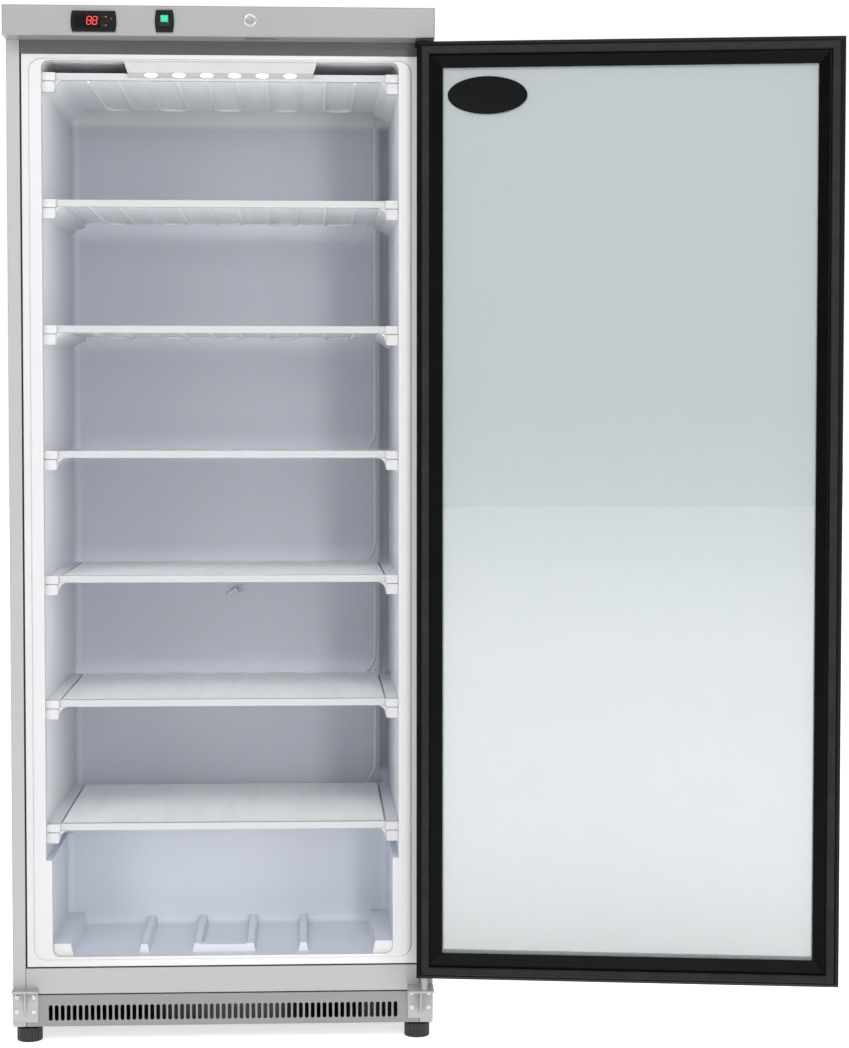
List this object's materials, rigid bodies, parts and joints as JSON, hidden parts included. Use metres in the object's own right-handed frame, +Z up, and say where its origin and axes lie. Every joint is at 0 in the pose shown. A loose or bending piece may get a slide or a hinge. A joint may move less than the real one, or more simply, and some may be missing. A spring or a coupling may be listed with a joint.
{
  "type": "upright freezer",
  "caption": "Free-standing upright freezer: enamelled steel cabinet, moulded liner with refrigerated plate shelves, a lockable glass door on side pins, a control panel and levelling feet.",
  "frame": {"origin": "on the floor, under the middle of the cabinet without its door and control panel", "axes": "+X to the right seen from the front, +Y from the front to the back, +Z up"},
  "size_m": [1.5151, 0.8289, 1.895],
  "materials": {
    "case_enamel": "smooth pale grey powder coat",
    "panel_enamel": "smooth pale grey powder coat",
    "zinc_sheet": "galvanised sheet",
    "black_plastic": "fine matt grain",
    "controller_black": "half gloss",
    "foam": "cut foam skin",
    "liner_plastic": "vacuum-formed satin",
    "display_window": "tinted clear",
    "lock_chrome": "polished",
    "white_plastic": "satin white",
    "lamp_lens": "clear lens over a light",
    "cold_plate": "white coated plate",
    "bar_enamel": "white enamel",
    "pipe_white": "white coated tube",
    "probe_plastic": "satin",
    "screw_zinc": "zinc plated",
    "compressor_black": "black paint",
    "fin_aluminium": "bare fins",
    "foot_rubber": "moulded black",
    "frame_black": "satin black",
    "door_glass": "clear float glass",
    "spacer_aluminium": "dark anodised",
    "gasket_rubber": "soft matt",
    "pull_steel": "brushed"
  },
  "bodies": {
    "cabinet": {"side_panel_left": "case_enamel", "side_panel_right": "case_enamel", "top_rail": "case_enamel", "sill_panel": "case_enamel", "plinth_grille": "case_enamel", "lower_hinge_bracket": "case_enamel", "lower_left_bracket": "case_enamel", "upper_hinge_bracket": "case_enamel", "control_panel": "panel_enamel", "top_cover": "zinc_sheet", "back_panel": "zinc_sheet", "rear_cover": "zinc_sheet", "base_pan": "zinc_sheet", "condenser_fan_motor": "zinc_sheet", "cable_gland": "black_plastic", "switch_body": "black_plastic", "controller_body": "controller_black", "foam_insulation": "foam", "inner_liner": "liner_plastic", "controller_window": "display_window", "lock_barrel": "lock_chrome", "lamp_valance": "white_plastic", "shelf_clips": "white_plastic", "lamp_lenses": "lamp_lens", "evaporator_shelf_1": "cold_plate", "shelf_bar_1": "bar_enamel", "evaporator_shelf_2": "cold_plate", "shelf_bar_2": "bar_enamel", "evaporator_shelf_3": "cold_plate", "shelf_bar_3": "bar_enamel", "evaporator_shelf_4": "cold_plate", "shelf_bar_4": "bar_enamel", "evaporator_shelf_5": "cold_plate", "shelf_bar_5": "bar_enamel", "evaporator_shelf_6": "cold_plate", "shelf_bar_6": "bar_enamel", "evaporator_shelf_7": "cold_plate", "shelf_bar_7": "bar_enamel", "refrigerant_lines": "pipe_white", "sensor_probe": "probe_plastic", "fixing_screws": "screw_zinc", "compressor": "compressor_black", "condenser": "fin_aluminium"},
    "door": {"door_frame": "frame_black", "inner_glass": "door_glass", "outer_glass": "door_glass", "glass_spacer": "spacer_aluminium", "door_gasket": "gasket_rubber", "edge_pull": "pull_steel"},
    "lock": {"lock_plug": "lock_chrome", "lock_cam": "lock_chrome"},
    "rocker": {"switch_rocker": "black_plastic"},
    "button_up": {"button_up": "black_plastic"},
    "button_down": {"button_down": "black_plastic"},
    "button_set": {"button_set": "black_plastic"},
    "fan": {"fan_impeller": "white_plastic"},
    "foot_front_left": {"foot_front_left": "foot_rubber"},
    "foot_front_right": {"foot_front_right": "foot_rubber"},
    "foot_rear_left": {"foot_rear_left": "foot_rubber"},
    "foot_rear_right": {"foot_rear_right": "foot_rubber"}
  },
  "joints": [
    {"name": "door_hinge", "type": "hinge", "parent": "cabinet", "child": "door", "pos_m": [0.3704, -0.3625, 0.98], "axis": [0, 0, 1], "range_deg": [-172, 8]},
    {"name": "lock_turn", "type": "hinge", "parent": "cabinet", "child": "lock", "pos_m": [0.0552, -0.3735, 1.8694], "axis": [0, 1, 0], "range_deg": [0, 90]},
    {"name": "rocker_tilt", "type": "hinge", "parent": "cabinet", "child": "rocker", "pos_m": [-0.098, -0.3725, 1.8671], "axis": [1, 0, 0], "range_deg": [-18, 0]},
    {"name": "button_up_press", "type": "slide", "parent": "cabinet", "child": "button_up", "axis": [0, 1, 0], "range_m": [0, 0.0008], "stiffness_N_per_m": 300, "springref_m": -0.001},
    {"name": "button_down_press", "type": "slide", "parent": "cabinet", "child": "button_down", "axis": [0, 1, 0], "range_m": [0, 0.0008], "stiffness_N_per_m": 300, "springref_m": -0.001},
    {"name": "button_set_press", "type": "slide", "parent": "cabinet", "child": "button_set", "axis": [0, 1, 0], "range_m": [0, 0.0008], "stiffness_N_per_m": 300, "springref_m": -0.001},
    {"name": "foot_front_left_screw", "type": "slide", "parent": "cabinet", "child": "foot_front_left", "axis": [0, 0, 1], "range_m": [-0.015, 0]},
    {"name": "foot_front_right_screw", "type": "slide", "parent": "cabinet", "child": "foot_front_right", "axis": [0, 0, 1], "range_m": [-0.015, 0]},
    {"name": "foot_rear_left_screw", "type": "slide", "parent": "cabinet", "child": "foot_rear_left", "axis": [0, 0, 1], "range_m": [-0.015, 0]},
    {"name": "foot_rear_right_screw", "type": "slide", "parent": "cabinet", "child": "foot_rear_right", "axis": [0, 0, 1], "range_m": [-0.015, 0]},
    {"name": "fan_spin", "type": "hinge", "parent": "cabinet", "child": "fan", "pos_m": [-0.19, 0.1025, 0.1462], "axis": [0, 1, 0], "continuous": true}
  ]
}
